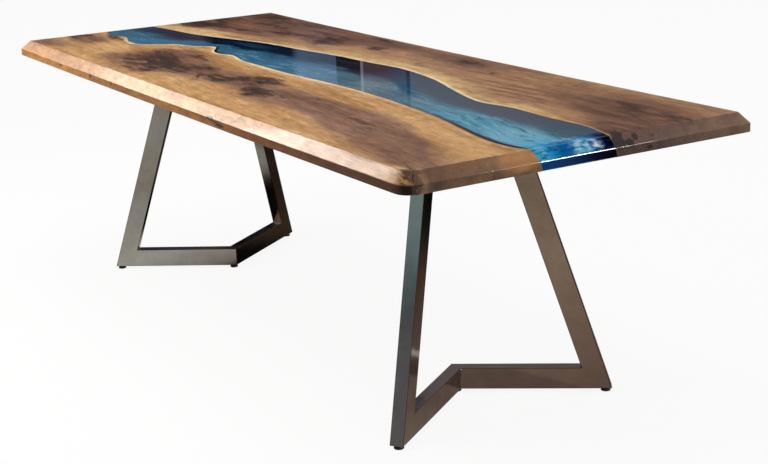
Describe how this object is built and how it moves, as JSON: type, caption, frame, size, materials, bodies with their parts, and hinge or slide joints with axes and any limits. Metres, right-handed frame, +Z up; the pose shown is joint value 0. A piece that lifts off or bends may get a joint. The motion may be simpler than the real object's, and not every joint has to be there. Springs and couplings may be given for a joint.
{
  "type": "dining table",
  "caption": "Live edge dining table: wooden slabs joined by a river of blue cast resin, carried at each end by a V-shaped frame of steel box section on screw levelling feet.",
  "frame": {"origin": "on the floor under the middle of the top, with every foot screwed right in", "axes": "+X along the table, +Y across it from the near side to the far side, +Z up"},
  "size_m": [2.5, 0.978, 0.765],
  "materials": {
    "walnut": "sanded and oiled, satin",
    "river_resin": "cast epoxy resin with blue pigment, polished",
    "leg_steel": "polished, clear coated",
    "plate_steel": "hot rolled, clear coated",
    "fixing_zinc": "zinc plated",
    "foot_zinc": "zinc plated",
    "pad_nylon": "moulded black nylon"
  },
  "bodies": {
    "table": {"base_rail_left_near": "leg_steel", "base_rail_left_far": "leg_steel", "post_left_near": "leg_steel", "post_left_far": "leg_steel", "top_rail_left_near": "leg_steel", "top_rail_left_far": "leg_steel", "mounting_plate_left": "plate_steel", "plate_bolts_left": "fixing_zinc", "plate_washers_left": "fixing_zinc", "wood_inserts_left": "fixing_zinc", "foot_nut_left_near": "foot_zinc", "foot_nut_left_far": "foot_zinc", "foot_nut_left_vertex": "foot_zinc", "base_rail_right_near": "leg_steel", "base_rail_right_far": "leg_steel", "post_right_near": "leg_steel", "post_right_far": "leg_steel", "top_rail_right_near": "leg_steel", "top_rail_right_far": "leg_steel", "mounting_plate_right": "plate_steel", "plate_bolts_right": "fixing_zinc", "plate_washers_right": "fixing_zinc", "wood_inserts_right": "fixing_zinc", "foot_nut_right_near": "foot_zinc", "foot_nut_right_far": "foot_zinc", "foot_nut_right_vertex": "foot_zinc", "resin_river": "river_resin", "walnut_slab_near": "walnut", "walnut_slab_far": "walnut"},
    "pad_left_near": {"foot_pad_left_near": "pad_nylon"},
    "stem_left_near": {"foot_stem_left_near": "foot_zinc"},
    "pad_left_far": {"foot_pad_left_far": "pad_nylon"},
    "stem_left_far": {"foot_stem_left_far": "foot_zinc"},
    "pad_left_vertex": {"foot_pad_left_vertex": "pad_nylon"},
    "stem_left_vertex": {"foot_stem_left_vertex": "foot_zinc"},
    "pad_right_near": {"foot_pad_right_near": "pad_nylon"},
    "stem_right_near": {"foot_stem_right_near": "foot_zinc"},
    "pad_right_far": {"foot_pad_right_far": "pad_nylon"},
    "stem_right_far": {"foot_stem_right_far": "foot_zinc"},
    "pad_right_vertex": {"foot_pad_right_vertex": "pad_nylon"},
    "stem_right_vertex": {"foot_stem_right_vertex": "foot_zinc"}
  },
  "joints": [
    {"name": "foot_travel_left_near", "type": "slide", "parent": "table", "child": "pad_left_near", "axis": [0, 0, -1], "range_m": [0, 0.012]},
    {"name": "foot_turn_left_near", "type": "hinge", "parent": "pad_left_near", "child": "stem_left_near", "pos_m": [-0.92046, -0.31479, 0.012], "axis": [0, 0, -1], "range_deg": [0, 3450]},
    {"name": "foot_travel_left_far", "type": "slide", "parent": "table", "child": "pad_left_far", "axis": [0, 0, -1], "range_m": [0, 0.012]},
    {"name": "foot_turn_left_far", "type": "hinge", "parent": "pad_left_far", "child": "stem_left_far", "pos_m": [-0.92046, 0.31479, 0.012], "axis": [0, 0, -1], "range_deg": [0, 3450]},
    {"name": "foot_travel_left_vertex", "type": "slide", "parent": "table", "child": "pad_left_vertex", "axis": [0, 0, -1], "range_m": [0, 0.012]},
    {"name": "foot_turn_left_vertex", "type": "hinge", "parent": "pad_left_vertex", "child": "stem_left_vertex", "pos_m": [-0.69175, 0, 0.012], "axis": [0, 0, -1], "range_deg": [0, 3450]},
    {"name": "foot_travel_right_near", "type": "slide", "parent": "table", "child": "pad_right_near", "axis": [0, 0, -1], "range_m": [0, 0.012]},
    {"name": "foot_turn_right_near", "type": "hinge", "parent": "pad_right_near", "child": "stem_right_near", "pos_m": [0.92046, -0.31479, 0.012], "axis": [0, 0, -1], "range_deg": [0, 3450]},
    {"name": "foot_travel_right_far", "type": "slide", "parent": "table", "child": "pad_right_far", "axis": [0, 0, -1], "range_m": [0, 0.012]},
    {"name": "foot_turn_right_far", "type": "hinge", "parent": "pad_right_far", "child": "stem_right_far", "pos_m": [0.92046, 0.31479, 0.012], "axis": [0, 0, -1], "range_deg": [0, 3450]},
    {"name": "foot_travel_right_vertex", "type": "slide", "parent": "table", "child": "pad_right_vertex", "axis": [0, 0, -1], "range_m": [0, 0.012]},
    {"name": "foot_turn_right_vertex", "type": "hinge", "parent": "pad_right_vertex", "child": "stem_right_vertex", "pos_m": [0.69175, 0, 0.012], "axis": [0, 0, -1], "range_deg": [0, 3450]}
  ],
  "couplings": [
    {"joint": "foot_travel_left_near", "follows": "foot_turn_left_near", "m_per_rad": 0.00019894},
    {"joint": "foot_travel_left_far", "follows": "foot_turn_left_far", "m_per_rad": 0.00019894},
    {"joint": "foot_travel_left_vertex", "follows": "foot_turn_left_vertex", "m_per_rad": 0.00019894},
    {"joint": "foot_travel_right_near", "follows": "foot_turn_right_near", "m_per_rad": 0.00019894},
    {"joint": "foot_travel_right_far", "follows": "foot_turn_right_far", "m_per_rad": 0.00019894},
    {"joint": "foot_travel_right_vertex", "follows": "foot_turn_right_vertex", "m_per_rad": 0.00019894}
  ]
}
